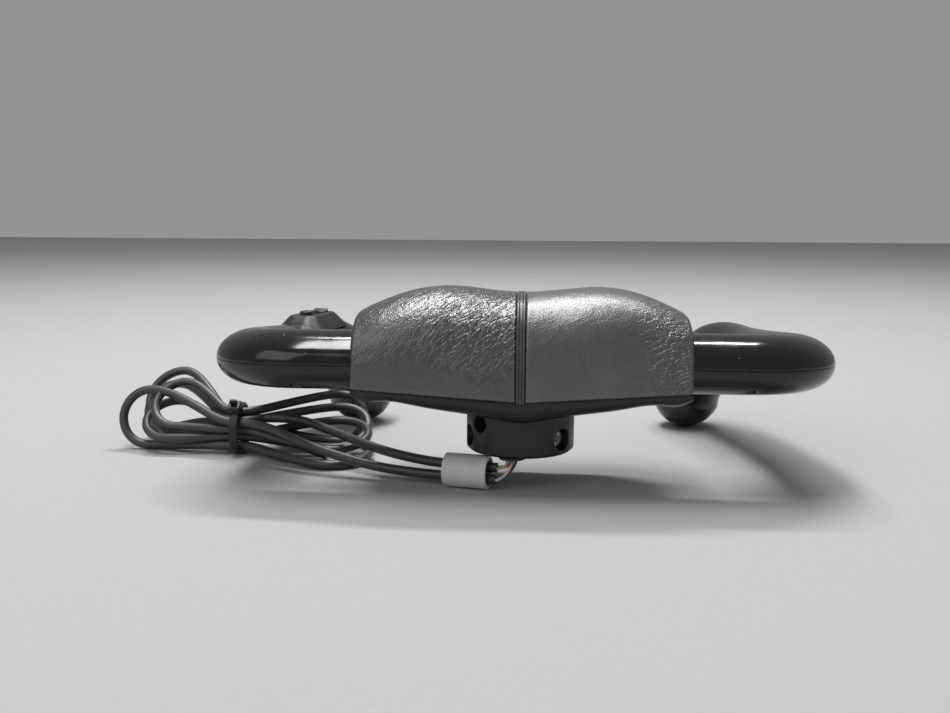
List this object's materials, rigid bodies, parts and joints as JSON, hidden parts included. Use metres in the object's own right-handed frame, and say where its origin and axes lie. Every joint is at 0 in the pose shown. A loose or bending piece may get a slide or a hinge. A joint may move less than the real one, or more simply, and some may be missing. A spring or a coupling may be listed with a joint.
{
  "type": "aircraft control wheel",
  "caption": "Aircraft control wheel: padded centre cover, two upright horns, clamp hub for the column, thumb switches and coiled cables.",
  "frame": {"origin": "centre of the hub's lower face, on the column's axis", "axes": "+Z along the column's axis towards the pilot, +X to the wheel's right, +Y to the wheel's top, where the horns end"},
  "size_m": [0.4142, 0.2172, 0.1062],
  "materials": {
    "hub_black": "satin black, slightly worn at the edges",
    "screw_steel": "bright steel",
    "screw_black": "black oxide",
    "grommet_rubber": "matt black rubber",
    "cast_alloy": "cast, blasted",
    "pad_skin": "leather-like pebble grain, satin",
    "trim_strip": "satin strip with two fine lines",
    "carrier_plastic": "plain moulding",
    "shell_plastic": "smooth, satin black",
    "switch_plastic": "fine texture",
    "rocker_plastic": "satin",
    "pin_steel": "ground",
    "switch_body": "plain moulding",
    "button_plastic": "black, satin",
    "spring_steel": "drawn wire",
    "horn_plastic": "glossy black with fine scratches",
    "core_steel": "drawn tube",
    "harness_sheath": "braided look, black",
    "sleeve_plastic": "white, slightly grey",
    "cable_jacket": "satin black jacket",
    "tie_plastic": "black nylon",
    "wire_insulation": "four coloured wires"
  },
  "bodies": {
    "wheel": {"column_hub": "hub_black", "clamp_screws": "screw_steel", "locking_screws": "screw_black", "frame_bolts": "screw_steel", "outlet_grommet": "grommet_rubber", "spoke_frame": "cast_alloy", "core_set_screws": "screw_black", "pad_left": "pad_skin", "pad_right": "pad_skin", "centre_trim": "trim_strip", "cover_carrier": "carrier_plastic", "back_shell": "shell_plastic", "cover_screws": "screw_steel", "switch_housing": "switch_plastic", "rocker_pin": "pin_steel", "trim_switch": "switch_body", "ptt_switch": "switch_body", "ptt_spring": "spring_steel", "horn_left_front_half": "horn_plastic", "horn_left_rear_half": "horn_plastic", "horn_right_front_half": "horn_plastic", "horn_right_rear_half": "horn_plastic", "horn_core_left": "core_steel", "horn_core_right": "core_steel", "horn_screws_left": "screw_black", "horn_screws_right": "screw_black", "horn_harness": "harness_sheath", "cable_sleeve": "sleeve_plastic", "trim_cable_lead": "cable_jacket", "ptt_cable_lead": "cable_jacket", "cable_hank": "cable_jacket", "cable_tie": "tie_plastic", "wire_tails": "wire_insulation"},
    "ptt_button_body": {"ptt_button": "button_plastic"},
    "trim_rocker_body": {"trim_rocker": "rocker_plastic"}
  },
  "joints": [
    {"name": "ptt_press", "type": "slide", "parent": "wheel", "child": "ptt_button_body", "axis": [0, 0, -1], "range_m": [0, 0.0015], "stiffness_N_per_m": 300, "deforming": ["ptt_spring"]},
    {"name": "trim_rock", "type": "hinge", "parent": "wheel", "child": "trim_rocker_body", "pos_m": [-0.13334, 0.10671, 0.05945], "axis": [-0.9765, 0.2154, 0], "range_deg": [-8, 8], "stiffness_Nm_per_rad": 0.02}
  ]
}
